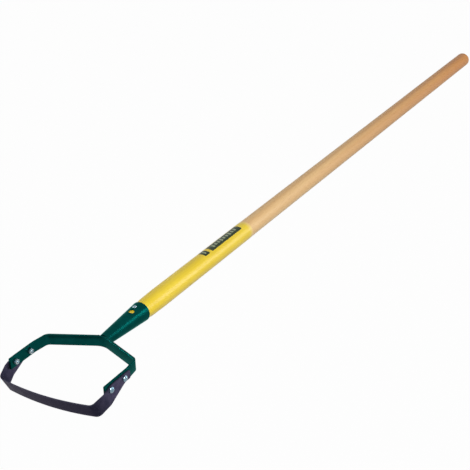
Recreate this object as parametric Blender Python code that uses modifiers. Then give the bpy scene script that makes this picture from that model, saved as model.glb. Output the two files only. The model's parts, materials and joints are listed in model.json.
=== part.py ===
"""Dutch hoe with a swinging stirrup blade, modelled in Blender.

Metres, +Z up. The pieces are drawn in the handle's own axes: +Y runs up the handle from the
middle of the socket's rim, +X is the right side of the head and +Z its top. An empty then lays
the whole hoe down on a flat floor, as it lies on a table, with the floor at z = 0.
"""

import math

import bmesh
import bpy
from mathutils import Matrix, Vector

MM = 0.001

# Clearances
SEAT_GAP = 0.3 * MM
CUT_MARGIN = 5 * MM

# Wooden shaft and its plastic sleeve
SHAFT_DIAMETER = 28 * MM
SHAFT_LENGTH = 1271 * MM
BUTT_ROUNDING = 6 * MM
SLEEVE_DIAMETER = 28.6 * MM
SLEEVE_WALL = 0.6 * MM
SLEEVE_LENGTH = 284 * MM
SLEEVE_INSIDE = 38 * MM
TAPER_START = 40 * MM
SHOULDER_DIAMETER = 27.4 * MM
SHOULDER_Y_ABOVE_RIM = 12 * MM
NECK_ABOVE_RIM = 3 * MM
TENON_CLEARANCE = 3 * MM

# Socket
SOCKET_LENGTH = 83 * MM
SOCKET_WALL = 1.2 * MM
RIM_DIAMETER = 28 * MM
FOOT_DIAMETER = 16.5 * MM
SOCKET_FLOOR = 18 * MM

# Frame, bent from one flat strip
STRIP_WIDTH = 15 * MM
STRIP_THICKNESS = 3 * MM
STRIP_EDGE = 0.5 * MM
ARM_OUTER_X = 72.6 * MM
ARM_SPLAY = 3 * MM
SPLAY_LENGTH = 22 * MM
SPLAY_BEND = 30 * MM
SHOULDER_DROP = 31 * MM
ARM_LENGTH = 69.7 * MM
CROWN_BEND = 25 * MM
SHOULDER_BEND = 8 * MM

# Blade, one strip folded into a stirrup
BLADE_THICKNESS = 2.2 * MM
BLADE_WIDTH = 26.6 * MM
BLADE_BOW = 6 * MM
BLADE_PITCH = math.radians(29)
PLATE_OUTER_X = 71.6 * MM
FOLD_AHEAD = 25.9 * MM
FOLD_BELOW = 16.8 * MM
FOLD_RADIUS = 9 * MM
LEAN_TOP = 19 * MM
LEAN_BEND = 10 * MM
GRIND_WIDTH = 5 * MM
EDGE_THICKNESS = 0.8 * MM
LEG_PAST_STOP = 11.5 * MM
LEG_WIDTH = 10.6 * MM
LEG_SET_IN = 1.6 * MM
LEG_SWEEP = 2 * MM
LEG_SWEEP_RADIUS = 16 * MM
LEG_CORNER = 1.5 * MM
RUNNING_GAP = 0.3 * MM

# Bolts and lock nuts
BOLT_DIAMETER = 4 * MM
HEAD_DIAMETER = 8.2 * MM
HEAD_HEIGHT = 2.8 * MM
HEAD_EDGE = 0.6 * MM
PIVOT_FROM_END = 8.7 * MM
STOP_SPACING = 28 * MM
SWING = math.radians(5.5)
NUT_FLATS = 7 * MM
NUT_HEX_HEIGHT = 2.4 * MM
NUT_HEIGHT = 3.7 * MM
COLLAR_DIAMETER = 6.8 * MM
RING_SEAT_DIAMETER = 6 * MM
RING_SEAT_DEPTH = 1.3 * MM
BOLT_PAST_NUT = 0.9 * MM

# Nail and spare hole in the socket
NAIL_Y = -12.5 * MM
NAIL_TURN = math.radians(-1)
NAIL_DIAMETER = 2.6 * MM
NAIL_LENGTH = 20 * MM
NAIL_HEAD_DIAMETER = 5.2 * MM
NAIL_HEAD_HEIGHT = 1.3 * MM
HOLE_Y = -22.8 * MM
HOLE_TURN = math.radians(6)
HOLE_DIAMETER = 8 * MM

# Welds
WELD_RADIUS = 2.6 * MM
WELD_SPREAD = math.radians(42)

# Arrows that show the two axes
EMPTY_SIZE = 30 * MM

# Facets
ROUND_STEPS = 48
SMALL_STEPS = 28
BOW_STEPS = 15
ARC_STEPS = 8
BEND_STEPS = 3
WELD_STEPS = 12

TENON_LENGTH = SOCKET_LENGTH - SOCKET_FLOOR - TENON_CLEARANCE
CROWN_Y = -SOCKET_LENGTH
SHOULDER_Y = CROWN_Y - SHOULDER_DROP
ARM_END_Y = SHOULDER_Y - ARM_LENGTH
PIVOT_Y = ARM_END_Y + PIVOT_FROM_END
STOP_Y = PIVOT_Y + STOP_SPACING
FOLD_Y = PIVOT_Y - FOLD_AHEAD
FOLD_Z = -FOLD_BELOW
LEG_TOP_Y = STOP_Y + LEG_PAST_STOP
SHAFT_RADIUS = SHAFT_DIAMETER / 2
BOLT_RADIUS = BOLT_DIAMETER / 2
ARM_INNER_X = ARM_OUTER_X - STRIP_THICKNESS
LEG_OUTER_X = ARM_OUTER_X + RUNNING_GAP + BLADE_THICKNESS
RIM_BORE = RIM_DIAMETER / 2 - SOCKET_WALL
CONE_SLOPE = (RIM_DIAMETER - FOOT_DIAMETER) / 2 / SOCKET_LENGTH
CONE_TILT = math.atan(CONE_SLOPE)

hoe = bpy.data.collections.new("dutch_hoe")
cutters = bpy.data.collections.new("cutters")


def clear_scene():
    for old in list(bpy.data.objects):
        bpy.data.objects.remove(old, do_unlink=True)
    for group in (hoe, cutters):
        bpy.context.scene.collection.children.link(group)
    cutters.hide_render = True


def make_material(name, colour, roughness, metallic=0.0):
    material = bpy.data.materials.new(name)
    material.use_nodes = True
    shader = material.node_tree.nodes["Principled BSDF"]
    shader.inputs["Base Color"].default_value = (*colour, 1.0)
    shader.inputs["Roughness"].default_value = roughness
    shader.inputs["Metallic"].default_value = metallic
    return material


def make_empty(name, parent=None, location=(0, 0, 0)):
    empty = bpy.data.objects.new(name, None)
    empty.empty_display_size = EMPTY_SIZE
    empty.parent = parent
    empty.location = location
    hoe.objects.link(empty)
    return empty


def make_piece(name, shape, material, parent, location=(0, 0, 0), rotation=(0, 0, 0)):
    """Takes a bmesh, and makes the named piece from it."""
    mesh = bpy.data.meshes.new(name)
    shape.to_mesh(mesh)
    shape.free()
    piece = bpy.data.objects.new(name, mesh)
    piece.data.materials.append(material)
    piece.parent = parent
    piece.location = location
    piece.rotation_euler = rotation
    hoe.objects.link(piece)
    return piece


def make_cutter(name, shape, parent, location=(0, 0, 0), rotation=(0, 0, 0)):
    mesh = bpy.data.meshes.new(name)
    shape.to_mesh(mesh)
    shape.free()
    cutter = bpy.data.objects.new(name, mesh)
    cutter.parent = parent
    cutter.location = location
    cutter.rotation_euler = rotation
    cutter.hide_render = True
    cutter.display_type = "WIRE"
    cutters.objects.link(cutter)
    return cutter


def shade_round(piece, degrees=35):
    piece.data.shade_smooth()
    piece.data.set_sharp_from_angle(angle=math.radians(degrees))


def cut(piece, cutter, operation="DIFFERENCE"):
    step = piece.modifiers.new(f"{operation.lower()} {cutter.name}", "BOOLEAN")
    step.operation = operation
    step.object = cutter
    step.solver = "EXACT"


def spin(piece, steps):
    """Turns the piece's profile, drawn at +X, about its own Z axis."""
    turn = piece.modifiers.new("turn", "SCREW")
    turn.axis = "Z"
    turn.steps = steps
    turn.render_steps = steps
    turn.use_merge_vertices = True
    turn.merge_threshold = 0.00001
    turn.use_smooth_shade = True


def arc(centre, radius, start, end, steps=ARC_STEPS):
    """Points along a circular arc, both ends included."""
    points = []
    for step in range(steps + 1):
        angle = start + (end - start) * step / steps
        points.append((centre[0] + radius * math.cos(angle), centre[1] + radius * math.sin(angle)))
    return points


def rounded(corners, radii, closed=False, steps=ARC_STEPS):
    """Points along a line of corners, each rounded by an arc of its own radius."""
    count = len(corners)
    points = []
    for index, corner in enumerate(corners):
        here = Vector(corner)
        at_end = not closed and index in (0, count - 1)
        if at_end or radii[index] == 0:
            points.append(tuple(here))
            continue
        back = (Vector(corners[index - 1]) - here).normalized()
        ahead = (Vector(corners[(index + 1) % count]) - here).normalized()
        half_angle = back.angle(ahead) / 2
        centre = here + (back + ahead).normalized() * radii[index] / math.sin(half_angle)
        reach = radii[index] / math.tan(half_angle)
        first = here + back * reach - centre
        last = here + ahead * reach - centre
        start = math.atan2(first.y, first.x)
        sweep = math.remainder(math.atan2(last.y, last.x) - start, math.tau)
        points += arc(centre, radii[index], start, start + sweep, steps)
    return points


def profile(points):
    """An open line of edges in the XZ plane, for a turned piece."""
    shape = bmesh.new()
    row = [shape.verts.new((x, 0, z)) for x, z in points]
    for first, second in zip(row, row[1:]):
        shape.edges.new((first, second))
    return shape


def ring_profile(points):
    """A closed line of edges in the XZ plane, for a turned ring."""
    shape = profile(points)
    shape.verts.ensure_lookup_table()
    shape.edges.new((shape.verts[-1], shape.verts[0]))
    return shape


def ribbon(points, heights, turn):
    """A path in the XY plane drawn up through several heights, then turned about X."""
    shape = bmesh.new()
    rows = []
    for height in heights:
        rows.append([shape.verts.new((x, y, height)) for x, y in points])
    for low, high in zip(rows, rows[1:]):
        for index in range(len(points) - 1):
            shape.faces.new((low[index], low[index + 1], high[index + 1], high[index]))
    bmesh.ops.rotate(shape, verts=shape.verts, matrix=Matrix.Rotation(turn, 3, "X"))
    return shape


def slab(outline, depth):
    """A flat outline in the YZ plane, given thickness along X and centred on x = 0."""
    shape = bmesh.new()
    face = shape.faces.new([shape.verts.new((-depth / 2, y, z)) for y, z in outline])
    grown = bmesh.ops.extrude_face_region(shape, geom=[face])
    moved = [item for item in grown["geom"] if isinstance(item, bmesh.types.BMVert)]
    bmesh.ops.translate(shape, verts=moved, vec=(depth, 0, 0))
    bmesh.ops.recalc_face_normals(shape, faces=shape.faces)
    return shape


def rod(radius, length, steps=SMALL_STEPS):
    """A cylinder along its own Z axis, centred on its origin."""
    shape = bmesh.new()
    bmesh.ops.create_cone(
        shape, cap_ends=True, segments=steps, radius1=radius, radius2=radius, depth=length
    )
    return shape


# Lays a turned piece's own Z axis along the handle, and a slope down the cone's side.
ALONG_HANDLE = (-math.pi / 2, 0, 0)


def cone_radius(y):
    """Outer radius of the socket at a place along the handle."""
    return RIM_DIAMETER / 2 + CONE_SLOPE * y


def sleeve_side(depth, length_inside):
    """The sleeve's side from full width down into the socket, or a surface this deep below it."""
    neck = RIM_BORE - SEAT_GAP - depth
    return [
        (SLEEVE_DIAMETER / 2 - depth, TAPER_START),
        (SHOULDER_DIAMETER / 2 - depth, SHOULDER_Y_ABOVE_RIM),
        (neck, NECK_ABOVE_RIM),
        (neck, 0),
        (neck - CONE_SLOPE * length_inside, -length_inside),
    ]


def make_shaft(root, wood):
    butt = arc(
        (SHAFT_RADIUS - BUTT_ROUNDING, SHAFT_LENGTH - BUTT_ROUNDING),
        BUTT_ROUNDING,
        math.pi / 2,
        0,
    )
    under_sleeve = sleeve_side(SLEEVE_WALL + SEAT_GAP, TENON_LENGTH)
    step = SLEEVE_LENGTH + SEAT_GAP
    shaft = make_piece(
        "wood_shaft",
        profile(
            [
                (0, SHAFT_LENGTH),
                *butt,
                (SHAFT_RADIUS, step),
                (under_sleeve[0][0], step),
                *under_sleeve,
                (0, -TENON_LENGTH),
            ]
        ),
        wood,
        root,
        rotation=ALONG_HANDLE,
    )
    spin(shaft, ROUND_STEPS)
    return shaft


def make_sleeve(root, plastic):
    outer = sleeve_side(0, SLEEVE_INSIDE)
    inner = sleeve_side(SLEEVE_WALL, SLEEVE_INSIDE)
    end_edge = SLEEVE_WALL / 3
    sleeve = make_piece(
        "shaft_sleeve",
        ring_profile(
            [
                (outer[0][0] - end_edge, SLEEVE_LENGTH),
                (outer[0][0], SLEEVE_LENGTH - end_edge),
                *outer,
                *reversed(inner),
                (inner[0][0], SLEEVE_LENGTH),
            ]
        ),
        plastic,
        root,
        rotation=ALONG_HANDLE,
    )
    spin(sleeve, ROUND_STEPS)
    return sleeve


def strip_path(longer):
    """Middle line of the frame strip seen from above, its ends longer by so much."""
    arm_x = ARM_OUTER_X - STRIP_THICKNESS / 2
    shoulder_x = arm_x - ARM_SPLAY
    splay_y = SHOULDER_Y - SPLAY_LENGTH
    right = [
        (arm_x, ARM_END_Y - longer),
        (arm_x, splay_y),
        (shoulder_x, SHOULDER_Y),
    ]
    crown = (0, CROWN_Y - STRIP_THICKNESS / 2)
    left = [(-x, y) for x, y in reversed(right)]
    radii = [0, SPLAY_BEND, SHOULDER_BEND, CROWN_BEND, SHOULDER_BEND, SPLAY_BEND, 0]
    return rounded([*right, crown, *left], radii)


def thicken_strip(piece, thickness):
    wall = piece.modifiers.new("strip", "SOLIDIFY")
    wall.thickness = thickness
    wall.offset = 0
    wall.use_even_offset = True


def make_frame(root, paint, openings):
    half = STRIP_WIDTH / 2
    frame = make_piece("frame_strip", ribbon(strip_path(0), [-half, half], 0), paint, root)
    thicken_strip(frame, STRIP_THICKNESS)
    edges = frame.modifiers.new("rolled edges", "BEVEL")
    edges.width = STRIP_EDGE
    edges.segments = 2
    edges.limit_method = "ANGLE"
    edges.angle_limit = math.radians(50)
    for opening in openings:
        cut(frame, opening)
    shade_round(frame)
    return frame


def make_frame_space(root):
    """The frame strip grown by the seating gap, to cut what is welded onto it."""
    half = STRIP_WIDTH / 2 + CUT_MARGIN
    space = make_cutter(
        "frame_space", ribbon(strip_path(CUT_MARGIN), [-half, half], 0), root
    )
    thicken_strip(space, STRIP_THICKNESS + 2 * SEAT_GAP)
    return space


def square_to_cone(y, turn, height):
    """Place and rotation of a rod standing square on the cone's side, turned about it."""
    radius = cone_radius(y) + height
    place = Vector((radius * math.sin(turn), y - height * CONE_SLOPE, radius * math.cos(turn)))
    stand = Matrix.Rotation(turn, 3, "Y") @ Matrix.Rotation(CONE_TILT, 3, "X")
    return place, stand.to_euler()


def make_socket(root, paint, frame_space, side_holes):
    rim_arc = arc(
        (RIM_DIAMETER / 2 - SOCKET_WALL / 2, 0), SOCKET_WALL / 2, math.pi, 0
    )
    floor_y = -SOCKET_LENGTH + SOCKET_FLOOR
    floor_radius = RIM_BORE + CONE_SLOPE * floor_y
    inside_strip = CROWN_Y - STRIP_THICKNESS / 2
    socket = make_piece(
        "socket",
        profile(
            [
                (0, floor_y),
                (floor_radius, floor_y),
                *rim_arc,
                (cone_radius(inside_strip), inside_strip),
                (0, inside_strip),
            ]
        ),
        paint,
        root,
        rotation=ALONG_HANDLE,
    )
    spin(socket, ROUND_STEPS)
    cut(socket, frame_space)
    for hole in side_holes:
        cut(socket, hole)
    return socket


def make_socket_space(root):
    """The socket's outside grown by the seating gap, to cut the welds round its foot."""
    low = -SOCKET_LENGTH - CUT_MARGIN
    high = -SOCKET_LENGTH / 2
    points = [
        (0, high),
        (cone_radius(high) + SEAT_GAP, high),
        (cone_radius(low) + SEAT_GAP, low),
        (0, low),
    ]
    space = make_cutter("socket_space", profile(points), root, rotation=ALONG_HANDLE)
    spin(space, ROUND_STEPS)
    return space


def crown_back(x):
    """Where the frame's back face lies at a small distance x from the middle."""
    slope_run = ARM_OUTER_X - ARM_SPLAY - STRIP_THICKNESS / 2
    lean = math.atan2(CROWN_Y - STRIP_THICKNESS / 2 - SHOULDER_Y, slope_run)
    middle_to_arc = CROWN_BEND / math.cos(lean)
    centre_y = CROWN_Y - STRIP_THICKNESS / 2 - middle_to_arc
    back_radius = CROWN_BEND + STRIP_THICKNESS / 2
    return centre_y + math.sqrt(back_radius**2 - x**2)


def make_weld(name, side, root, paint, frame_space, socket_space):
    """A bead laid in the corner between the socket's foot and the strip, on one side."""
    foot = cone_radius(crown_back(0))
    curve = bpy.data.curves.new(name, "CURVE")
    curve.dimensions = "3D"
    curve.bevel_depth = WELD_RADIUS
    curve.bevel_resolution = 3
    curve.use_fill_caps = True
    line = curve.splines.new("POLY")
    line.points.add(WELD_STEPS)
    for index in range(WELD_STEPS + 1):
        turn = WELD_SPREAD * (2 * index / WELD_STEPS - 1)
        x = side * foot * math.cos(turn)
        line.points[index].co = (x, crown_back(x), foot * math.sin(turn), 1)
    guide = bpy.data.objects.new(name, curve)
    cutters.objects.link(guide)
    bpy.context.view_layer.update()
    graph = bpy.context.evaluated_depsgraph_get()
    mesh = bpy.data.meshes.new_from_object(guide.evaluated_get(graph))
    bpy.data.objects.remove(guide)
    bpy.data.curves.remove(curve)
    shape = bmesh.new()
    shape.from_mesh(mesh)
    bpy.data.meshes.remove(mesh)
    bmesh.ops.remove_doubles(shape, verts=shape.verts, dist=0.000001)
    bmesh.ops.recalc_face_normals(shape, faces=shape.faces)
    weld = make_piece(name, shape, paint, root)
    cut(weld, frame_space)
    cut(weld, socket_space)
    shade_round(weld)
    return weld


def to_handle(along, across):
    """A place in the blade's side view, from lengths square to its plate and across it."""
    y = FOLD_Y + along * math.cos(BLADE_PITCH) - across * math.sin(BLADE_PITCH)
    z = FOLD_Z + along * math.sin(BLADE_PITCH) + across * math.cos(BLADE_PITCH)
    return y, z


def blade_outline():
    """Side view of the stirrup: the legs along the arms, swept down into the tilted plate."""
    half = LEG_WIDTH / 2
    plate_half = BLADE_WIDTH / 2
    below = -(BLADE_BOW + CUT_MARGIN)
    corners = [
        (LEG_TOP_Y, half),
        (PIVOT_Y + LEG_SWEEP, half),
        to_handle(FOLD_RADIUS / 2, plate_half - LEG_SET_IN),
        to_handle(-FOLD_RADIUS / 2, plate_half),
        to_handle(below, plate_half),
        to_handle(below, -plate_half),
        to_handle(FOLD_RADIUS, -plate_half),
        (STOP_Y, -half),
        (LEG_TOP_Y, -half),
    ]
    radii = [
        LEG_CORNER,
        LEG_SWEEP_RADIUS,
        FOLD_RADIUS,
        FOLD_RADIUS,
        0,
        0,
        LEG_SWEEP_RADIUS,
        LEG_SWEEP_RADIUS,
        LEG_CORNER,
    ]
    return rounded(corners, radii, closed=True)


def blade_path():
    """The stirrup's outer face seen square to its width: leg, fold, bowed plate, fold, leg."""
    wide = PLATE_OUTER_X
    bow_radius = (wide**2 + BLADE_BOW**2) / (2 * BLADE_BOW)
    bow_centre = (0, bow_radius - BLADE_BOW)
    fold_x = wide - FOLD_RADIUS
    fold_y = bow_centre[1] - math.sqrt((bow_radius - FOLD_RADIUS) ** 2 - fold_x**2)
    meet = math.atan2(fold_y - bow_centre[1], fold_x)
    fold = Vector((fold_x, fold_y))
    bend = Vector((LEG_OUTER_X, LEAN_TOP)) - fold
    lean = math.atan2(bend.y, bend.x) - math.acos(FOLD_RADIUS / bend.length)
    fold_side = arc(fold, FOLD_RADIUS, lean, meet)
    leg_top = (LEG_TOP_Y - FOLD_Y) / math.cos(BLADE_PITCH)
    leg = [(LEG_OUTER_X, leg_top), (LEG_OUTER_X, LEAN_TOP), fold_side[0]]
    right = rounded(leg, [0, LEAN_BEND, 0], steps=BEND_STEPS)[:-1]
    right += fold_side
    bow = arc(bow_centre, bow_radius, meet, -math.pi - meet, BOW_STEPS)
    left = [(-x, y) for x, y in reversed(right)]
    return right + bow[1:-1] + left


def blade_sheet():
    """The blade's outer face before it is cut out, lying square, with its ground edges marked.

    The legs reach further down than the plate, because they sweep down across it.
    """
    rim = BLADE_WIDTH / 2 + EDGE_THICKNESS
    ridge = BLADE_WIDTH / 2 - GRIND_WIDTH
    sheet = ribbon(blade_path(), [-rim, -ridge, ridge, rim], 0)
    thickness = sheet.verts.layers.deform.verify()
    thin = EDGE_THICKNESS / BLADE_THICKNESS
    for corner in sheet.verts:
        at_rim = abs(corner.co.z) > (rim + ridge) / 2
        up_fold = min(1.0, max(0.0, corner.co.y / FOLD_RADIUS))
        corner[thickness][0] = thin + (1 - thin) * up_fold if at_rim else 1.0
    on_rim = {v for v in sheet.verts if v.co.z < -(rim + ridge) / 2}
    low_row = {v for v in on_rim if v.co.y > FOLD_RADIUS / 2}
    leg_edges = [edge for edge in sheet.edges if low_row.issuperset(edge.verts)]
    grown = bmesh.ops.extrude_edge_only(sheet, edges=leg_edges)
    moved = [item for item in grown["geom"] if isinstance(item, bmesh.types.BMVert)]
    bmesh.ops.translate(sheet, verts=moved, vec=(0, 0, -BLADE_WIDTH / 2))
    bmesh.ops.recalc_face_normals(sheet, faces=sheet.faces)
    return sheet


def make_blade(hinge, steel, bolt_bores):
    sheet = blade_sheet()
    bmesh.ops.rotate(sheet, verts=sheet.verts, matrix=Matrix.Rotation(BLADE_PITCH, 3, "X"))
    bmesh.ops.translate(sheet, verts=sheet.verts, vec=(0, FOLD_Y - PIVOT_Y, FOLD_Z))
    blade = make_piece("blade", sheet, steel, hinge)
    group = blade.vertex_groups.new(name="thickness")
    wall = blade.modifiers.new("sheet", "SOLIDIFY")
    wall.thickness = BLADE_THICKNESS
    wall.offset = -1
    wall.use_even_offset = True
    wall.vertex_group = group.name
    outline = [(y - PIVOT_Y, z) for y, z in blade_outline()]
    blank = make_cutter("blade_blank", slab(outline, 2 * LEG_OUTER_X + CUT_MARGIN), hinge)
    cut(blade, blank, "INTERSECT")
    for bore in bolt_bores:
        cut(blade, bore)
    shade_round(blade)
    return blade


def make_arm_slots(root):
    """A short curved slot in both arms, in which the stop bolts swing with the blade."""
    half = BOLT_RADIUS + SEAT_GAP
    top, low = [arc((0, 0), STOP_SPACING, turn, turn, 1)[0] for turn in (SWING, -SWING)]
    outer = arc((0, 0), STOP_SPACING + half, SWING, -SWING)
    low_end = arc(low, half, -SWING, -SWING - math.pi)
    inner = arc((0, 0), STOP_SPACING - half, -SWING, SWING)
    top_end = arc(top, half, SWING + math.pi, SWING)
    outline = outer[:-1] + low_end[:-1] + inner[:-1] + top_end[:-1]
    return make_cutter(
        "arm_slots", slab(outline, 2 * LEG_OUTER_X + CUT_MARGIN), root, (0, PIVOT_Y, 0)
    )


def make_bolt(name, side, y, parent, zinc):
    """A domed bolt through leg and arm, its own Z axis pointing out of the head."""
    under_head = LEG_OUTER_X + SEAT_GAP
    tip = ARM_INNER_X - SEAT_GAP - NUT_HEIGHT - BOLT_PAST_NUT
    head = HEAD_DIAMETER / 2
    dome = HEAD_HEIGHT - HEAD_EDGE
    dome_radius = (head**2 + dome**2) / (2 * dome)
    dome_angle = math.asin(head / dome_radius)
    dome_centre = (0, under_head + HEAD_HEIGHT - dome_radius)
    crown = arc(dome_centre, dome_radius, math.pi / 2, math.pi / 2 - dome_angle)
    chamfer = BOLT_DIAMETER / 8
    bolt = make_piece(
        name,
        profile(
            [
                *crown,
                (head, under_head),
                (BOLT_RADIUS, under_head),
                (BOLT_RADIUS, tip + chamfer),
                (BOLT_RADIUS - chamfer, tip),
                (0, tip),
            ]
        ),
        zinc,
        parent,
        location=(0, y, 0),
        rotation=(0, side * math.pi / 2, 0),
    )
    spin(bolt, SMALL_STEPS)
    return bolt


def make_nut(name, side, y, parent, zinc):
    """A hexagon lock nut, its own Z axis pointing in towards the other arm."""
    bore = BOLT_RADIUS + SEAT_GAP
    seat = RING_SEAT_DIAMETER / 2
    collar = COLLAR_DIAMETER / 2
    corner = NUT_FLATS / math.sqrt(3)
    chamfer = corner - NUT_FLATS / 2
    place = (side * (ARM_INNER_X - SEAT_GAP), y, 0)
    rotation = (0, -side * math.pi / 2, 0)
    nut = make_piece(
        name,
        ring_profile(
            [
                (seat, NUT_HEIGHT),
                (collar, NUT_HEIGHT),
                (collar, NUT_HEX_HEIGHT),
                (NUT_FLATS / 2, NUT_HEX_HEIGHT),
                (corner, NUT_HEX_HEIGHT - chamfer / 2),
                (corner, chamfer / 2),
                (NUT_FLATS / 2, 0),
                (bore, 0),
                (bore, NUT_HEIGHT - RING_SEAT_DEPTH),
                (seat, NUT_HEIGHT - RING_SEAT_DEPTH),
            ]
        ),
        zinc,
        parent,
        location=place,
        rotation=rotation,
    )
    spin(nut, SMALL_STEPS)
    hexagon = make_cutter(
        f"{name}_hexagon", rod(corner, 3 * NUT_HEIGHT, 6), parent, location=place, rotation=rotation
    )
    cut(nut, hexagon, "INTERSECT")
    return nut


def make_lock_ring(name, side, y, parent, nylon):
    inner = BOLT_RADIUS + SEAT_GAP
    outer = RING_SEAT_DIAMETER / 2 - SEAT_GAP
    low = NUT_HEIGHT - RING_SEAT_DEPTH + SEAT_GAP
    ring = make_piece(
        name,
        ring_profile([(inner, NUT_HEIGHT), (outer, NUT_HEIGHT), (outer, low), (inner, low)]),
        nylon,
        parent,
        location=(side * (ARM_INNER_X - SEAT_GAP), y, 0),
        rotation=(0, -side * math.pi / 2, 0),
    )
    spin(ring, SMALL_STEPS)
    return ring


def make_nail(root, zinc):
    shank = NAIL_DIAMETER / 2
    head = NAIL_HEAD_DIAMETER / 2
    place, rotation = square_to_cone(NAIL_Y, NAIL_TURN, SEAT_GAP)
    dome = arc((0, 0), 1.0, math.pi / 2, 0)
    crown = [(head * x, NAIL_HEAD_HEIGHT * z) for x, z in dome]
    nail = make_piece(
        "socket_nail",
        profile([*crown, (shank, 0), (shank, -NAIL_LENGTH + 2 * NAIL_DIAMETER), (0, -NAIL_LENGTH)]),
        zinc,
        root,
        location=place,
        rotation=rotation,
    )
    spin(nail, SMALL_STEPS)
    return nail


def side_hole(name, y, turn, radius, depth, root):
    place, rotation = square_to_cone(y, turn, 0)
    return make_cutter(name, rod(radius, 2 * depth), root, location=place, rotation=rotation)


def lowest(piece):
    """The lowest height that the piece reaches, as it now lies."""
    graph = bpy.context.evaluated_depsgraph_get()
    shape = piece.evaluated_get(graph)
    mesh = shape.to_mesh()
    height = min((shape.matrix_world @ corner.co).z for corner in mesh.vertices)
    shape.to_mesh_clear()
    return height


def span_along(pieces):
    """The nearest and farthest that the pieces reach along Y, as they now lie."""
    graph = bpy.context.evaluated_depsgraph_get()
    reach = []
    for piece in pieces:
        shape = piece.evaluated_get(graph)
        mesh = shape.to_mesh()
        places = [(shape.matrix_world @ corner.co).y for corner in mesh.vertices]
        reach += [min(places), max(places)]
        shape.to_mesh_clear()
    return min(reach), max(reach)


def lay_on_floor(root, shaft, blade):
    """Tilts the hoe until its blade and its shaft's end both touch z = 0, then centres it."""
    for _ in range(4):
        bpy.context.view_layer.update()
        rise = lowest(shaft) - lowest(blade)
        root.rotation_euler.x -= math.atan2(rise, SHAFT_LENGTH - FOLD_Y)
    bpy.context.view_layer.update()
    near, far = span_along([shaft, blade])
    root.location = (0, -(near + far) / 2, -lowest(blade))
    bpy.context.view_layer.update()


def main():
    clear_scene()
    wood = make_material("ash wood", (0.60, 0.37, 0.17), 0.55)
    plastic = make_material("yellow sleeve", (0.72, 0.49, 0.05), 0.4)
    paint = make_material("green paint", (0.0, 0.07, 0.06), 0.4)
    weld_paint = make_material("green paint on weld", (0.0, 0.075, 0.065), 0.45)
    frame_paint = make_material("green paint on strip", (0.0, 0.08, 0.07), 0.4)
    steel = make_material("blued blade steel", (0.045, 0.045, 0.075), 0.45, 0.6)
    zinc = make_material("zinc plate", (0.62, 0.66, 0.68), 0.3, 1.0)
    nylon = make_material("natural nylon", (0.85, 0.86, 0.84), 0.5)

    root = make_empty("hoe")
    hinge = make_empty("blade_hinge", root, (0, PIVOT_Y, 0))

    long_rod = 2 * LEG_OUTER_X + CUT_MARGIN
    across = (0, math.pi / 2, 0)
    bore = BOLT_RADIUS + SEAT_GAP
    pivot_bore = make_cutter("pivot_bore", rod(bore, long_rod), hinge, (0, 0, 0), across)
    stop_place = (0, STOP_SPACING, 0)
    stop_bore = make_cutter("stop_bore", rod(bore, long_rod), hinge, stop_place, across)
    nail_bore = side_hole(
        "nail_bore", NAIL_Y, NAIL_TURN, NAIL_DIAMETER / 2 + SEAT_GAP, NAIL_LENGTH + SEAT_GAP, root
    )
    # Half way to the middle, so that it opens the curved wall at its sides too.
    hole_depth = cone_radius(HOLE_Y) / 2
    spare_hole = side_hole(
        "spare_hole", HOLE_Y, HOLE_TURN, HOLE_DIAMETER / 2, hole_depth, root
    )

    shaft = make_shaft(root, wood)
    cut(shaft, nail_bore)
    sleeve = make_sleeve(root, plastic)
    cut(sleeve, nail_bore)
    frame_space = make_frame_space(root)
    make_socket(root, paint, frame_space, [nail_bore, spare_hole])
    make_frame(root, frame_paint, [pivot_bore, make_arm_slots(root)])
    socket_space = make_socket_space(root)
    make_weld("weld_right", 1, root, weld_paint, frame_space, socket_space)
    make_weld("weld_left", -1, root, weld_paint, frame_space, socket_space)
    make_nail(root, zinc)

    blade = make_blade(hinge, steel, [pivot_bore, stop_bore])
    bolt_sets = (("pivot", root, PIVOT_Y), ("stop", hinge, STOP_SPACING))
    for place, carrier, y in bolt_sets:
        for word, side in (("right", 1), ("left", -1)):
            make_bolt(f"{place}_bolt_{word}", side, y, carrier, zinc)
            make_nut(f"{place}_nut_{word}", side, y, carrier, zinc)
            make_lock_ring(f"{place}_lock_ring_{word}", side, y, carrier, nylon)

    lay_on_floor(root, shaft, blade)


main()
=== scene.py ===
"""A dutch hoe dressed over its CAD frame: shaft, sleeve, socket, fork, stirrup blade and bolts.

Metres, +Z up, the floor at z = 0. The handle's own axes start at the middle of the socket's rim:
+Y runs up the handle, +X is the right side of the head and +Z its top.
"""

import json
import math

import bmesh
import bpy
from mathutils import Matrix, Vector


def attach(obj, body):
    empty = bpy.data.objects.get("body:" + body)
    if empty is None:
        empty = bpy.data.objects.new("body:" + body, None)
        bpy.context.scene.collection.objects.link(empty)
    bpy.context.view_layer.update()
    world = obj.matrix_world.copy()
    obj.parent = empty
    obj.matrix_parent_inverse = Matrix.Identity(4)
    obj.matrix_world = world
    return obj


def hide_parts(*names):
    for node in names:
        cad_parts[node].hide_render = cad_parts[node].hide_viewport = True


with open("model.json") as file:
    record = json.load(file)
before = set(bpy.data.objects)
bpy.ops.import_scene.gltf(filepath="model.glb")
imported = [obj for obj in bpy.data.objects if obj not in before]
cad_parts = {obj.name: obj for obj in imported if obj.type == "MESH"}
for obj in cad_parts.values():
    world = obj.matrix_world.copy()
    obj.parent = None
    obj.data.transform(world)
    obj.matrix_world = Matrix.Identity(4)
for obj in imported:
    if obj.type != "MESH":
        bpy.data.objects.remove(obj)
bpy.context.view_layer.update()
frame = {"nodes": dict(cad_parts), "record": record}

MM = 0.001

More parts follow.
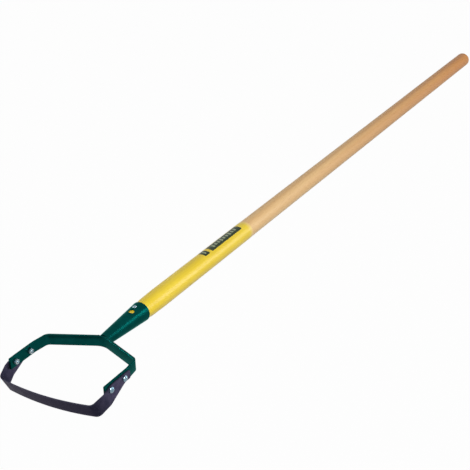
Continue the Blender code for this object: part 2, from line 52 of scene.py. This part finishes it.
# Sizes of the CAD part, in the handle's axes.
SHAFT_LENGTH = 1271 * MM
SLEEVE_RADIUS = 14.3 * MM
SLEEVE_LENGTH = 284 * MM
SOCKET_RIM_RADIUS = 14 * MM
SOCKET_FOOT_RADIUS = 8.25 * MM
SOCKET_LENGTH = 83 * MM
SOCKET_SLOPE = (SOCKET_RIM_RADIUS - SOCKET_FOOT_RADIUS) / SOCKET_LENGTH
SPARE_HOLE_Y = -22.8 * MM
SPARE_HOLE_TURN = math.radians(6)
PIVOT_Y = -175 * MM
STOP_Y = -147 * MM
BOLT_RADIUS = 2.0 * MM
BOLT_TIP_X = 64.7 * MM
BLADE_PITCH = math.radians(29)
FOLD_Y = -200.9 * MM
FOLD_Z = -16.8 * MM

# What is added here: a cleaner hole, the bolts' threads and the printed label.
SPARE_HOLE_RADIUS = 4.05 * MM
THREAD_PITCH = 0.7 * MM
THREAD_CREST = 0.25 * MM
THREAD_SUNK = 0.05 * MM
FILM_THICKNESS = 0.02 * MM
PANEL_LIFT = 0.03 * MM
BAR_LIFT = 0.06 * MM
PANEL_WIDTH = 13.5 * MM
PANEL_CORNER = 1.5 * MM
PANEL_Y = 221 * MM
SQUARE_Y = 165 * MM

# The photograph's camera in the handle's axes, from fitting the head and the shaft to it.
CAMERA_PLACE = (0.78888626, -1.09438078, 0.73564089)
CAMERA_RIGHT = (0.8703388, 0.49143827, -0.0316039)
CAMERA_UP = (-0.18375788, 0.38363654, 0.90501715)
CAMERA_BACK = (0.45688447, -0.78186407, 0.42419942)
CAMERA_LENS = 88.192
CAMERA_SENSOR = 36
PHOTO_SIZE = 470
PHOTO_SHIFT = 0.5 / PHOTO_SIZE


def handle_axes():
    """Matrix from the handle's axes to the world, from the mount on the shaft's butt."""
    butt = next(m for m in frame["record"]["mounts"] if m["name"] == "butt_end")
    along = Vector(butt["axis"])
    across = Vector((1, 0, 0))
    top = across.cross(along)
    axes = Matrix((across, along, top)).transposed().to_4x4()
    axes.translation = Vector(butt["pos_m"]) - along * SHAFT_LENGTH
    return axes


HANDLE = handle_axes()
# The blade's axes: X along the folds, Y up from the plate and Z across it.
PLATE = HANDLE @ Matrix.Translation((0, FOLD_Y, FOLD_Z)) @ Matrix.Rotation(BLADE_PITCH, 4, "X")


# Colours and nodes


def colour(hex_code):
    """An sRGB hex value as the linear colour that a shader takes."""
    parts = [int(hex_code[i : i + 2], 16) / 255 for i in (1, 3, 5)]
    return (*[c / 12.92 if c <= 0.04045 else ((c + 0.055) / 1.055) ** 2.4 for c in parts], 1)


def feed(tree, node, inputs):
    """Sets a node's inputs, each from a value or by a link from a node or a socket."""
    for name, value in inputs.items():
        if isinstance(value, bpy.types.Node):
            value = value.outputs[0]
        if isinstance(value, bpy.types.NodeSocket):
            tree.links.new(value, node.inputs[name])
        else:
            node.inputs[name].default_value = value


def add(tree, kind, inputs=None, stops=(), **settings):
    """Adds a node with its settings, a ramp's stops and its inputs."""
    node = tree.nodes.new("ShaderNode" + kind)
    for name, value in settings.items():
        setattr(node, name, value)
    for index, (place, hex_code) in enumerate(stops):
        stop = node.color_ramp.elements[index]
        stop.position = place
        stop.color = colour(hex_code)
    feed(tree, node, inputs or {})
    return node


def start_material(name):
    """A new material, its node tree and its shader."""
    material = bpy.data.materials.new(name)
    material.use_nodes = True
    tree = material.node_tree
    return material, tree, tree.nodes["Principled BSDF"]


def placed(tree, axes, stretch=(1, 1, 1)):
    """Object coordinates in these axes, in metres, drawn out along one of them by a scale below 1."""
    place = add(tree, "TexCoord").outputs["Object"]
    back = axes.inverted()
    turn = back.to_euler()
    turned = add(tree, "Mapping", {"Vector": place, "Location": back.translation, "Rotation": turn})
    return add(tree, "Mapping", {"Vector": turned, "Scale": stretch})


# Materials


def lacquered_ash():
    # Ash, turned, sanded and clear lacquered: pale straight grain with darker pore lines, a soft gloss.
    material, tree, shader = start_material("lacquered_ash")
    # Growth rings are cut nearly flat, so they show 10 mm apart, drawn out 30 times along the shaft.
    # At scale 1 a band of the wave texture is tau / 20 wide.
    ring_gap = 9.896 * MM
    rings = add(
        tree,
        "TexWave",
        {
            "Vector": placed(tree, HANDLE, (1, 1 / 30, 1)),
            "Scale": math.tau / 20 / ring_gap,
            "Distortion": 5.0,
            "Detail": 2.0,
            "Detail Scale": 1.2,
        },
        bands_direction="X",
    )
    # Darker heartwood in clouds 22 mm wide and 260 mm long.
    clouds = placed(tree, HANDLE, (1, 1 / 12, 1))
    sway = add(tree, "TexNoise", {"Vector": clouds, "Scale": 1 / (22 * MM), "Detail": 2})
    # Pores are 0.1 mm wide in the wood. They are drawn 0.5 mm wide and 17 mm long, so that they show.
    drawn_out = placed(tree, HANDLE, (1, 1 / 35, 1))
    pores = add(
        tree,
        "TexNoise",
        {"Vector": drawn_out, "Scale": 1 / (0.5 * MM), "Detail": 2, "Roughness": 0.7},
    )
    # The wood is drawn darker and warmer towards the butt, from 0.3 m to 1.25 m along the handle.
    along = add(tree, "SeparateXYZ", {"Vector": placed(tree, HANDLE)}).outputs["Y"]
    toward_butt = add(tree, "MapRange", {"Value": along, "From Min": 0.3, "From Max": 1.25})
    pale = add(tree, "ValToRGB", {"Fac": toward_butt}, ((0, "#E8C792"), (1, "#C9883E")))
    dark = add(tree, "ValToRGB", {"Fac": toward_butt}, ((0, "#D6AA72"), (1, "#B57034")))
    ring_share = add(
        tree,
        "MapRange",
        {"Value": rings.outputs["Fac"], "From Min": 0.35, "From Max": 0.95, "To Max": 0.4},
    )
    sway_share = add(
        tree, "MapRange", {"Value": sway, "From Min": 0.35, "From Max": 0.7, "To Max": 0.45}
    )
    pore_share = add(
        tree, "MapRange", {"Value": pores, "From Min": 0.56, "From Max": 0.72, "To Max": 0.5}
    )
    ringed = add(tree, "MixRGB", {"Fac": ring_share, "Color1": pale, "Color2": dark})
    swayed = add(tree, "MixRGB", {"Fac": sway_share, "Color1": ringed, "Color2": dark})
    lined = add(
        tree, "MixRGB", {"Fac": pore_share, "Color1": swayed, "Color2": colour("#A9764A")}
    )
    relief = add(tree, "Bump", {"Height": pores, "Distance": 0.08 * MM, "Strength": 0.35})
    feed(
        tree,
        shader,
        {"Base Color": lined, "Roughness": 0.45, "Specular IOR Level": 0.25, "Normal": relief},
    )
    return material


def pvc_sleeve():
    # Soft PVC tube drawn tight on the shaft: smooth and semi-gloss, with faint draw lines along it.
    material, tree, shader = start_material("yellow_pvc")
    # Draw lines 2.5 mm apart and 150 mm long.
    drawn_out = placed(tree, HANDLE, (1, 1 / 60, 1))
    lines = add(tree, "TexNoise", {"Vector": drawn_out, "Scale": 1 / (2.5 * MM)})
    # The tube is a little thicker and thinner in clouds 18 mm wide and 54 mm long.
    cloudy = placed(tree, HANDLE, (1, 1 / 3, 1))
    clouds = add(tree, "TexNoise", {"Vector": cloudy, "Scale": 1 / (18 * MM)})
    tone = add(tree, "ValToRGB", {"Fac": clouds}, ((0.3, "#E0C228"), (0.7, "#E8CC38")))
    line_share = add(
        tree, "MapRange", {"Value": lines, "From Min": 0.5, "From Max": 0.75, "To Max": 0.3}
    )
    drawn = add(tree, "MixRGB", {"Fac": line_share, "Color1": tone, "Color2": colour("#CCAA28")})
    # The trimmed end has shrunk thin, so the wood shows through its last 9 mm.
    along = add(tree, "SeparateXYZ", {"Vector": placed(tree, HANDLE)}).outputs["Y"]
    thin = add(
        tree,
        "MapRange",
        {
            "Value": along,
            "From Min": SLEEVE_LENGTH - 9 * MM,
            "From Max": SLEEVE_LENGTH,
            "To Max": 0.75,
        },
    )
    faded = add(tree, "MixRGB", {"Fac": thin, "Color1": drawn, "Color2": colour("#E4C492")})
    relief = add(tree, "Bump", {"Height": lines, "Distance": 0.12 * MM, "Strength": 0.3})
    feed(
        tree,
        shader,
        {"Base Color": faded, "Roughness": 0.38, "Specular IOR Level": 0.36, "Normal": relief},
    )
    return material


def stoved_enamel(name, main, worn, peel_size, peel_depth):
    # Transparent green enamel sprayed on bright steel and stoved: deep green, its highlights tinted by
    # the metal under it, with a fine orange peel.
    material, tree, shader = start_material(name)
    flat = placed(tree, HANDLE)
    peel = add(tree, "TexNoise", {"Vector": flat, "Scale": 1 / peel_size, "Detail": 2})
    # The coat is a little thicker and thinner in patches of 14 mm.
    patches = add(
        tree, "TexNoise", {"Vector": flat, "Scale": 1 / (14 * MM), "Detail": 3, "Roughness": 0.6}
    )
    tone = add(tree, "ValToRGB", {"Fac": patches}, ((0.35, main), (0.7, worn)))
    rough = add(
        tree,
        "MapRange",
        {"Value": patches, "From Min": 0.3, "From Max": 0.75, "To Min": 0.22, "To Max": 0.3},
    )
    relief = add(tree, "Bump", {"Height": peel, "Distance": peel_depth, "Strength": 0.12})
    # The coat is tinted through, so little white shows in its gloss, and its edges glow green.
    feed(
        tree,
        shader,
        {
            "Base Color": tone,
            "Metallic": 0.7,
            "Roughness": rough,
            "Specular IOR Level": 0.02,
            "Specular Tint": colour("#18D6D0"),
            "Normal": relief,
        },
    )
    return material


def blued_steel():
    # Hardened strip steel, heat blued and oiled: a nearly black plate and violet grey legs with
    # mottling, a thin gloss of oil, and brighter along the ground edges, where use has rubbed it.
    material, tree, shader = start_material("blued_strip_steel")
    flat = placed(tree, PLATE)
    # Scale from the heating mottles it in patches of 7 mm and specks it at 1.1 mm.
    mottle = add(
        tree, "TexNoise", {"Vector": flat, "Scale": 1 / (7 * MM), "Detail": 4, "Roughness": 0.65}
    )
    fine = add(
        tree, "TexNoise", {"Vector": flat, "Scale": 1 / (1.1 * MM), "Detail": 3, "Roughness": 0.6}
    )
    # The plate is drawn nearly black and the legs violet grey, changing between 2 and 30 mm up.
    height = add(tree, "SeparateXYZ", {"Vector": flat}).outputs["Y"]
    plate_share = add(tree, "MapRange", {"Value": height, "From Min": 30 * MM, "From Max": 2 * MM})
    in_legs = add(tree, "ValToRGB", {"Fac": mottle}, ((0.35, "#3C3B50"), (0.65, "#4E4A60")))
    in_blade = add(tree, "ValToRGB", {"Fac": mottle}, ((0.35, "#1A1B2A"), (0.65, "#262534")))
    dark = add(tree, "MixRGB", {"Fac": plate_share, "Color1": in_legs, "Color2": in_blade})
    speck_share = add(
        tree, "MapRange", {"Value": fine, "From Min": 0.5, "From Max": 0.75, "To Max": 0.3}
    )
    specked = add(
        tree, "MixRGB", {"Fac": speck_share, "Color1": dark, "Color2": colour("#4A4859")}
    )
    # Grinding scratches run across the edge, drawn 0.4 mm wide and 6 mm long.
    crossing = placed(tree, PLATE, (1, 1, 1 / 15))
    scratches = add(
        tree,
        "TexNoise",
        {"Vector": crossing, "Scale": 1 / (0.4 * MM), "Detail": 2, "Roughness": 0.7},
    )
    bare = add(tree, "ValToRGB", {"Fac": scratches}, ((0.35, "#343446"), (0.65, "#505062")))
    # They lie in the plate, not the legs, on the outer 3 mm of its half width of 13.3 mm.
    in_plate = add(tree, "MapRange", {"Value": height, "From Min": 9 * MM, "From Max": 4 * MM})
    from_middle = add(tree, "SeparateXYZ", {"Vector": flat}).outputs["Z"]
    across = add(tree, "Math", {0: from_middle}, operation="ABSOLUTE")
    near_edge = add(
        tree,
        "MapRange",
        {"Value": across, "From Min": 10.3 * MM, "From Max": 12.8 * MM, "To Max": 0.6},
    )
    rubbed = add(tree, "Math", {0: near_edge, 1: in_plate}, operation="MULTIPLY")
    both = add(tree, "MixRGB", {"Fac": rubbed, "Color1": specked, "Color2": bare})
    rough = add(
        tree,
        "MapRange",
        {"Value": mottle, "From Min": 0.3, "From Max": 0.7, "To Min": 0.3, "To Max": 0.46},
    )
    relief = add(tree, "Bump", {"Height": fine, "Distance": 0.03 * MM, "Strength": 0.5})
    # The oxide film keeps steel dark at a glancing view too.
    feed(
        tree,
        shader,
        {
            "Base Color": both,
            "Metallic": 0.7,
            "Roughness": rough,
            "Specular IOR Level": 0.03,
            "Specular Tint": colour("#BCB8C0"),
            "Normal": relief,
        },
    )
    return material


def zinc_plate():
    # Steel with bright zinc plate: silver with a faint straw and blue bloom, fine tumbling marks.
    material, tree, shader = start_material("bright_zinc_plate")
    flat = placed(tree, HANDLE)
    # The bloom changes every 4 mm, and the marks are 0.45 mm apart.
    bloom = add(tree, "TexNoise", {"Vector": flat, "Scale": 1 / (4 * MM)})
    marks = add(
        tree, "TexNoise", {"Vector": flat, "Scale": 1 / (0.45 * MM), "Detail": 3, "Roughness": 0.7}
    )
    tone = add(tree, "ValToRGB", {"Fac": bloom}, ((0.35, "#6E8C9C"), (0.65, "#8A9CA2")))
    rough = add(
        tree,
        "MapRange",
        {"Value": marks, "From Min": 0.3, "From Max": 0.7, "To Min": 0.2, "To Max": 0.34},
    )
    relief = add(tree, "Bump", {"Height": marks, "Distance": 0.03 * MM, "Strength": 0.4})
    feed(
        tree, shader, {"Base Color": tone, "Metallic": 1.0, "Roughness": rough, "Normal": relief}
    )
    return material


def natural_nylon():
    # Undyed nylon 6, moulded: milky off-white with a soft sheen, cloudy at 1.5 mm.
    material, tree, shader = start_material("natural_nylon")
    cloud = add(tree, "TexNoise", {"Vector": placed(tree, HANDLE), "Scale": 1 / (1.5 * MM)})
    tone = add(tree, "ValToRGB", {"Fac": cloud}, ((0.3, "#DADBD4"), (0.7, "#EDEDE8")))
    feed(tree, shader, {"Base Color": tone, "Roughness": 0.5})
    return material


def label_film(name, main, second):
    # Printed film label under clear varnish: nearly flat ink that varies every 2 mm, an even gloss.
    material, tree, shader = start_material(name)
    cloud = add(tree, "TexNoise", {"Vector": placed(tree, HANDLE), "Scale": 1 / (2 * MM)})
    tone = add(tree, "ValToRGB", {"Fac": cloud}, ((0.3, main), (0.7, second)))
    feed(tree, shader, {"Base Color": tone, "Roughness": 0.38, "Specular IOR Level": 0.2})
    return material


ASH = lacquered_ash()
PVC = pvc_sleeve()
ENAMEL = stoved_enamel("green_enamel", "#033835", "#05423F", 0.9 * MM, 0.05 * MM)
WELD_ENAMEL = stoved_enamel("green_enamel_on_weld", "#033532", "#084843", 1.6 * MM, 0.25 * MM)
BLUED = blued_steel()
ZINC = zinc_plate()
NYLON = natural_nylon()
LABEL_INK = label_film("dark_green_label_ink", "#14240C", "#1B2E12")
LABEL_PALE = label_film("pale_label_ink", "#8E9A78", "#A2AC8B")


# Pieces


def finish_piece(name, shape, material, body, angle=35):
    """Makes a piece at the origin from a bmesh, smooth but for edges sharper than the angle."""
    mesh = bpy.data.meshes.new(name)
    shape.to_mesh(mesh)
    shape.free()
    mesh.materials.append(material)
    mesh.shade_smooth()
    mesh.set_sharp_from_angle(angle=math.radians(angle))
    piece = bpy.data.objects.new(name, mesh)
    bpy.context.scene.collection.objects.link(piece)
    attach(piece, body)
    return piece


def dress(node, name, material, body, angle):
    """A smooth copy of a CAD node, with its loose triangles joined, that stands for the node."""
    same_point = 0.03 * MM
    same_plane = math.radians(0.4)
    shape = bmesh.new()
    shape.from_mesh(frame["nodes"][node].data)
    bmesh.ops.remove_doubles(shape, verts=shape.verts, dist=same_point)
    bmesh.ops.dissolve_limit(shape, angle_limit=same_plane, verts=shape.verts, edges=shape.edges)
    piece = finish_piece(name, shape, material, body, angle)
    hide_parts(node)
    return piece


def open_spare_hole(socket):
    """Drills the spare hole right through the socket's curved wall, with a round edge."""
    drill = bmesh.new()
    bmesh.ops.create_cone(
        drill,
        cap_ends=True,
        segments=64,
        radius1=SPARE_HOLE_RADIUS,
        radius2=SPARE_HOLE_RADIUS,
        depth=8 * MM,
    )
    out = SOCKET_RIM_RADIUS + SOCKET_SLOPE * SPARE_HOLE_Y
    place = Vector((out * math.sin(SPARE_HOLE_TURN), SPARE_HOLE_Y, out * math.cos(SPARE_HOLE_TURN)))
    lean = Matrix.Rotation(math.atan(SOCKET_SLOPE), 4, "X")
    turn = Matrix.Rotation(SPARE_HOLE_TURN, 4, "Y") @ lean
    stand = HANDLE @ Matrix.Translation(place) @ turn
    bmesh.ops.transform(drill, matrix=stand, verts=drill.verts)
    mesh = bpy.data.meshes.new("drill")
    drill.to_mesh(mesh)
    drill.free()
    tool = bpy.data.objects.new("drill", mesh)
    bpy.context.scene.collection.objects.link(tool)
    drilling = socket.modifiers.new("spare_hole", "BOOLEAN")
    drilling.operation = "DIFFERENCE"
    drilling.solver = "EXACT"
    drilling.object = tool
    graph = bpy.context.evaluated_depsgraph_get()
    drilled = bpy.data.meshes.new_from_object(socket.evaluated_get(graph))
    socket.modifiers.clear()
    socket.data = drilled
    bpy.data.objects.remove(tool)


def shade_as_cone(socket):
    """Shades the socket's facets as the true cone, because its holes cut them unevenly."""
    near_cone = 0.3 * MM
    near_square = math.cos(math.radians(8))
    back = HANDLE.inverted()
    mesh = socket.data
    mesh.set_sharp_from_angle(angle=math.radians(30))
    normals = [corner.vector.copy() for corner in mesh.corner_normals]
    for face in mesh.polygons:
        middle = back @ face.center
        radius = math.hypot(middle.x, middle.z)
        outside = radius > SOCKET_RIM_RADIUS + SOCKET_SLOPE * middle.y - near_cone
        for loop in face.loop_indices:
            spot = back @ mesh.vertices[mesh.loops[loop].vertex_index].co
            across = math.hypot(spot.x, spot.z)
            square = Vector((spot.x / across, -SOCKET_SLOPE, spot.z / across)).normalized()
            square = HANDLE.to_3x3() @ square
            if outside and face.normal.dot(square) > near_square:
                normals[loop] = square
    mesh.normals_split_custom_set(normals)


def face_place(face):
    """The middle of a face, to a tenth of a micrometre."""
    return [round(value, 7) for value in face.calc_center_median()]


def flat_patch(width, length, corner, slices=8):
    """A thin flat plate with round corners in XY, cut across X into slices so that it can bend."""
    shape = bmesh.new()
    bmesh.ops.create_grid(shape, x_segments=1, y_segments=1, size=0.5)
    bmesh.ops.scale(shape, vec=(width, length, 1), verts=shape.verts)
    bmesh.ops.bevel(
        shape,
        geom=shape.verts[:],
        offset=corner,
        offset_type="OFFSET",
        affect="VERTICES",
        segments=4,
        profile=0.5,
        material=-1,
    )
    for index in range(1, slices):
        x = width * (index / slices - 0.5)
        bmesh.ops.bisect_plane(
            shape,
            geom=shape.verts[:] + shape.edges[:] + shape.faces[:],
            plane_co=(x, 0, 0),
            plane_no=(1, 0, 0),
        )
    grown = bmesh.ops.extrude_face_region(shape, geom=shape.faces[:])
    moved = [item for item in grown["geom"] if isinstance(item, bmesh.types.BMVert)]
    bmesh.ops.translate(shape, vec=(0, 0, FILM_THICKNESS), verts=moved)
    bmesh.ops.recalc_face_normals(shape, faces=shape.faces)
    # The extrusion makes its faces in another order each run, so they are sorted by place.
    for index, face in enumerate(sorted(shape.faces, key=face_place)):
        face.index = index
    shape.faces.sort()
    return shape


def label_piece(name, width, length, corner, middle_y, lift, material):
    """A flat piece of the label, bent round the sleeve at this height over it."""
    shape = flat_patch(width, length, corner)
    radius = SLEEVE_RADIUS + lift
    for point in shape.verts:
        turn = point.co.x / SLEEVE_RADIUS
        out = radius + point.co.z
        point.co = (out * math.sin(turn), middle_y + point.co.y, out * math.cos(turn))
    bmesh.ops.transform(shape, matrix=HANDLE, verts=shape.verts)
    finish_piece(name, shape, material, "handle")


def make_label():
    """A dark green panel with plain ruler-like bars, and a small square panel before it."""
    for name, length, middle_y in (
        ("label_panel", 86 * MM, PANEL_Y),
        ("label_square", 13 * MM, SQUARE_Y),
    ):
        label_piece(name, PANEL_WIDTH, length, PANEL_CORNER, middle_y, PANEL_LIFT, LABEL_INK)
    # Every third bar is a long one, and they stand 7.8 mm apart.
    for index in range(9):
        middle_y = (190 + 7.8 * index) * MM
        width = (4.6 if index % 3 else 6.4) * MM
        name = f"label_bar_{index}"
        label_piece(name, width, 4.2 * MM, 0.5 * MM, middle_y, BAR_LIFT, LABEL_PALE)
    label_piece(
        "label_square_bar", 6.5 * MM, 3.2 * MM, 0.8 * MM, SQUARE_Y, BAR_LIFT, LABEL_PALE
    )


def make_thread(name, side, y, body):
    """The rolled thread on a bolt's tip, where it stands out of its nut."""
    steps = 24
    turns = 3
    start = BOLT_TIP_X + 0.3 * MM
    root = BOLT_RADIUS - THREAD_SUNK
    shape = bmesh.new()
    low = shape.verts.new((root, 0, 0))
    top = shape.verts.new((BOLT_RADIUS + THREAD_CREST, 0, THREAD_PITCH * 0.4))
    high = shape.verts.new((root, 0, THREAD_PITCH * 0.8))
    edges = [shape.edges.new(pair) for pair in ((low, top), (top, high), (high, low))]
    bmesh.ops.spin(
        shape,
        geom=[low, top, high, *edges],
        cent=(0, 0, 0),
        axis=(0, 0, 1),
        dvec=(0, 0, THREAD_PITCH / steps),
        angle=math.tau * turns,
        steps=steps * turns,
        use_merge=False,
    )
    bmesh.ops.holes_fill(shape, edges=shape.edges[:], sides=3)
    bmesh.ops.recalc_face_normals(shape, faces=shape.faces)
    turn = Matrix.Rotation(side * math.pi / 2, 4, "Y")
    stand = HANDLE @ (Matrix.Translation((side * start, y, 0)) @ turn)
    bmesh.ops.transform(shape, matrix=stand, verts=shape.verts)
    finish_piece(name, shape, ZINC, body, 20)


def make_pieces():
    """Dresses each CAD node, and adds the threads and the label. A stop bolt rides on the blade."""
    dress("wood_shaft", "ash_shaft", ASH, "handle", 50)
    dress("shaft_sleeve", "pvc_sleeve", PVC, "handle", 30)
    socket = dress("socket", "socket_cone", ENAMEL, "handle", 50)
    open_spare_hole(socket)
    shade_as_cone(socket)
    dress("frame_strip", "fork_strip", ENAMEL, "handle", 50)
    dress("socket_nail", "domed_nail", ZINC, "handle", 40)
    dress("blade", "stirrup_blade", BLUED, "stirrup", 12)
    for word, side in (("left", -1), ("right", 1)):
        dress(f"weld_{word}", f"weld_bead_{word}", WELD_ENAMEL, "handle", 60)
        for place, body, y in (("pivot", "handle", PIVOT_Y), ("stop", "stirrup", STOP_Y)):
            bolt, nut, ring = (f"{place}_{part}_{word}" for part in ("bolt", "nut", "lock_ring"))
            dress(bolt, f"{place}_dome_bolt_{word}", ZINC, body, 30)
            dress(nut, f"{place}_lock_nut_{word}", ZINC, body, 25)
            dress(ring, f"{place}_nylon_ring_{word}", NYLON, body, 30)
            make_thread(f"{place}_thread_{word}", side, y, body)
    make_label()


# Studio


def seen_rays(tree):
    """1 for the rays in which the background is seen: by the camera, in gloss and through glass."""
    path = add(tree, "LightPath")
    camera, gloss, glass = (
        path.outputs[f"Is {kind} Ray"] for kind in ("Camera", "Glossy", "Transmission")
    )
    either = add(tree, "Math", {0: camera, 1: gloss}, operation="MAXIMUM")
    return add(tree, "Math", {0: either, 1: glass}, operation="MAXIMUM")


def make_floor():
    """A pale floor that reads as white to the camera and still takes the hoe's soft shadow."""
    shape = bmesh.new()
    bmesh.ops.create_grid(shape, x_segments=1, y_segments=1, size=6)
    mesh = bpy.data.meshes.new("studio_floor")
    shape.to_mesh(mesh)
    shape.free()
    material, tree, shader = start_material("white_paper")
    feed(tree, shader, {"Base Color": colour("#808080"), "Roughness": 0.9})
    glow = add(tree, "Emission", {"Color": (1, 1, 1, 1), "Strength": 1.0})
    share = add(tree, "Math", {0: seen_rays(tree), 1: 0.98}, operation="MULTIPLY")
    both = add(tree, "MixShader", {0: share, 1: shader, 2: glow})
    feed(tree, tree.nodes["Material Output"], {"Surface": both})
    mesh.materials.append(material)
    floor = bpy.data.objects.new("studio_floor", mesh)
    bpy.context.scene.collection.objects.link(floor)


def make_world():
    """A world that is white where it is seen and gives only a little light."""
    world = bpy.data.worlds.new("studio")
    bpy.context.scene.world = world
    world.use_nodes = True
    tree = world.node_tree
    soft = tree.nodes["Background"]
    feed(tree, soft, {"Color": (1, 1, 1, 1), "Strength": 0.03})
    white = add(tree, "Background", {"Color": (1, 1, 1, 1), "Strength": 1.0})
    both = add(tree, "MixShader", {0: seen_rays(tree), 1: soft, 2: white})
    feed(tree, tree.nodes["World Output"], {"Surface": both})


def make_lamp(name, place, aim, size, power):
    """A rectangular lamp at this place, turned to its aim, with its size in metres, power in watts."""
    lamp = bpy.data.lights.new(name, "AREA")
    lamp.shape = "RECTANGLE"
    lamp.size, lamp.size_y = size
    lamp.energy = power
    holder = bpy.data.objects.new(name, lamp)
    holder.location = place
    holder.rotation_euler = (Vector(aim) - Vector(place)).to_track_quat("-Z", "Y").to_euler()
    bpy.context.scene.collection.objects.link(holder)


def make_camera():
    """The photograph's camera, its picture's middle moved by half a pixel."""
    lens = bpy.data.cameras.new("camera")
    lens.sensor_width = CAMERA_SENSOR
    lens.lens = CAMERA_LENS
    lens.shift_x = -PHOTO_SHIFT
    lens.shift_y = PHOTO_SHIFT
    lens.clip_end = 50
    camera = bpy.data.objects.new("camera", lens)
    turn = Matrix((CAMERA_RIGHT, CAMERA_UP, CAMERA_BACK)).transposed().to_4x4()
    camera.matrix_world = HANDLE @ Matrix.Translation(CAMERA_PLACE) @ turn
    bpy.context.scene.collection.objects.link(camera)
    bpy.context.scene.camera = camera


make_camera()
make_pieces()
make_floor()
make_world()
make_lamp("key", (1.95, -1.9, 1.95), (0, 0.1, 0), (1.0, 1.0), 93)
make_lamp("strip", (2.45, 2.15, 0.95), (0, 0.1, 0), (0.55, 1.6), 42)
make_lamp("low_fill", (-2.2, -1.1, 0.3), (0.05, -0.1, 0), (0.8, 0.4), 30)
bpy.context.scene.view_settings.view_transform = "Standard"
